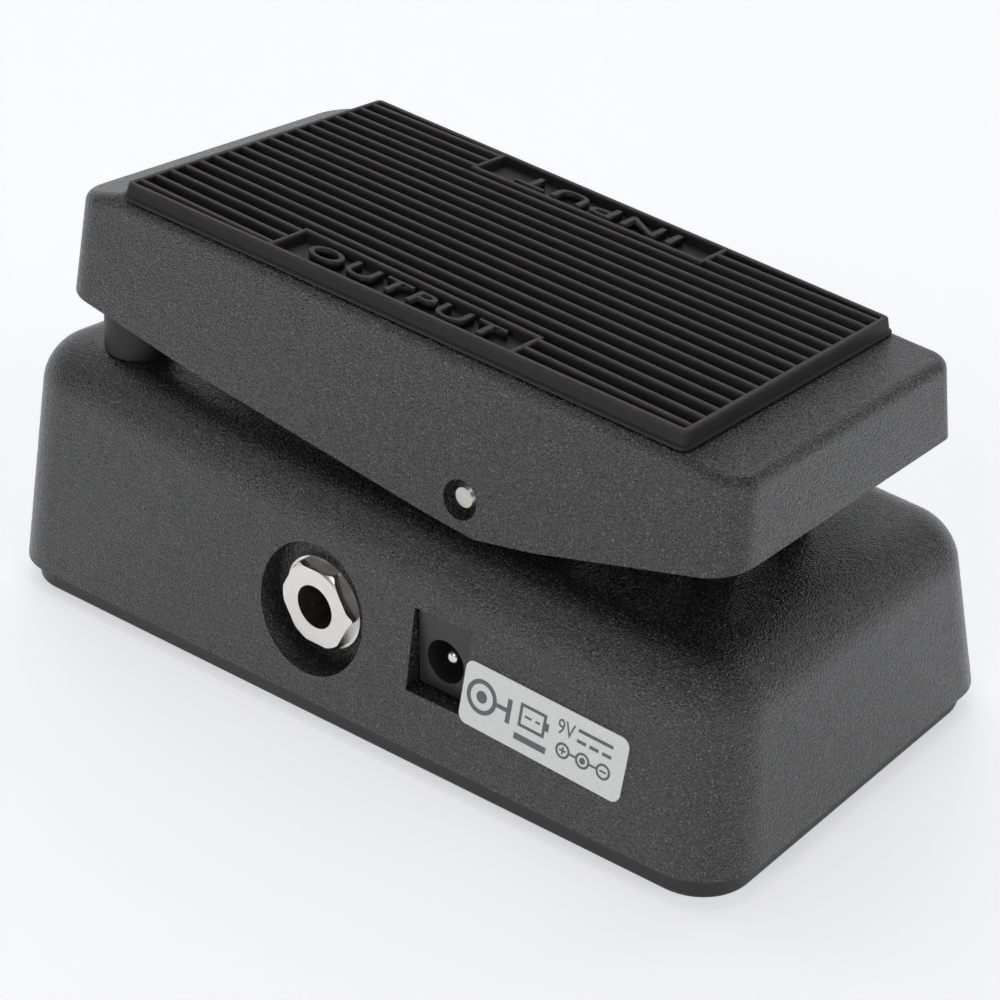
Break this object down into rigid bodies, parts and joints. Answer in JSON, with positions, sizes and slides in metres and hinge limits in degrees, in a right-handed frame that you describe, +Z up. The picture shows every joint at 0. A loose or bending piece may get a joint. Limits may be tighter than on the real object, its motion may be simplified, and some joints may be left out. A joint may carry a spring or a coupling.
{
  "type": "guitar effects pedal",
  "caption": "Compact rocker pedal for electric guitar: cast base with signal and power sockets, rocking treadle with ribbed rubber tread, rack-driven sweep control and toe switch.",
  "frame": {"origin": "centre of the footprint, on the surface it stands on", "axes": "+X to the player's right, +Y towards the toe, +Z up"},
  "size_m": [0.074, 0.1332, 0.066],
  "materials": {
    "powder_coat": "textured",
    "sole_rubber": "satin",
    "pad_rubber": "matte",
    "bumper_rubber": "matte",
    "plate_steel": "zinc plated",
    "nickel": "nickel plated",
    "screw_steel": "zinc plated",
    "nylon": "natural",
    "black_plastic": "moulded",
    "spring_bronze": "satin",
    "tin": "tinned",
    "label_white": "printed",
    "board_green": "solder mask",
    "capacitor_blue": "sleeved",
    "film_red": "dipped",
    "resistor_tan": "lacquered",
    "inductor_shell": "moulded",
    "battery_jacket": "printed jacket"
  },
  "bodies": {
    "base": {"base_casting": "powder_coat", "rubber_sole": "sole_rubber", "bottom_plate": "plate_steel", "plate_screws": "screw_steel", "toe_bumpers": "bumper_rubber", "heel_bumpers": "bumper_rubber", "pivot_bushes": "nylon", "friction_screw": "screw_steel", "output_jack_housing": "black_plastic", "output_jack_ferrule": "nickel", "output_jack_washer": "nickel", "output_jack_contacts": "spring_bronze", "input_jack_housing": "black_plastic", "input_jack_ferrule": "nickel", "input_jack_washer": "nickel", "input_jack_contacts": "spring_bronze", "dc_socket_housing": "black_plastic", "dc_centre_pin": "nickel", "dc_socket_terminals": "tin", "rating_label": "label_white", "rack_guide": "nylon", "pot_body": "plate_steel", "pot_nut": "nickel", "pot_bracket": "plate_steel", "bracket_screws": "screw_steel", "footswitch_housing": "capacitor_blue", "footswitch_terminals": "tin", "footswitch_bush": "nickel", "footswitch_washer": "nickel", "footswitch_nut": "nickel", "circuit_board": "board_green", "board_spacers": "nylon", "inductor": "inductor_shell", "electrolytic_capacitors": "capacitor_blue", "film_capacitors": "film_red", "transistors": "black_plastic", "resistors": "resistor_tan", "battery_9v": "battery_jacket", "battery_snap": "black_plastic"},
    "treadle": {"treadle_casting": "powder_coat", "tread_pad": "pad_rubber", "pivot_shaft": "screw_steel", "thrust_washers": "nylon", "shaft_lock_screws": "screw_steel", "rack_pin": "screw_steel", "rack_pin_clip": "screw_steel"},
    "rack": {"gear_rack": "nylon"},
    "sweep_shaft": {"pot_shaft": "screw_steel", "pinion_gear": "nylon"},
    "switch_plunger": {"footswitch_plunger": "nickel", "footswitch_cap": "bumper_rubber"}
  },
  "joints": [
    {"name": "treadle_rock", "type": "hinge", "parent": "base", "child": "treadle", "pos_m": [0, -0.0196, 0.0391], "axis": [1, 0, 0], "range_deg": [0, 13.5]},
    {"name": "rack_slide", "type": "slide", "parent": "base", "child": "rack", "axis": [0, 0, 1], "range_m": [0, 0.0083]},
    {"name": "sweep_turn", "type": "hinge", "parent": "base", "child": "sweep_shaft", "pos_m": [0, 0.0201, 0.02], "axis": [1, 0, 0], "range_deg": [-95, 0]},
    {"name": "switch_press", "type": "slide", "parent": "base", "child": "switch_plunger", "axis": [0, 0.0781, -0.9969], "range_m": [0, 0.0025], "stiffness_N_per_m": 3000, "springref_m": -0.001}
  ],
  "couplings": [
    {"joint": "rack_slide", "follows": "treadle_rock", "m_per_rad": 0.0334},
    {"joint": "sweep_turn", "follows": "treadle_rock", "ratio": -6.68}
  ]
}
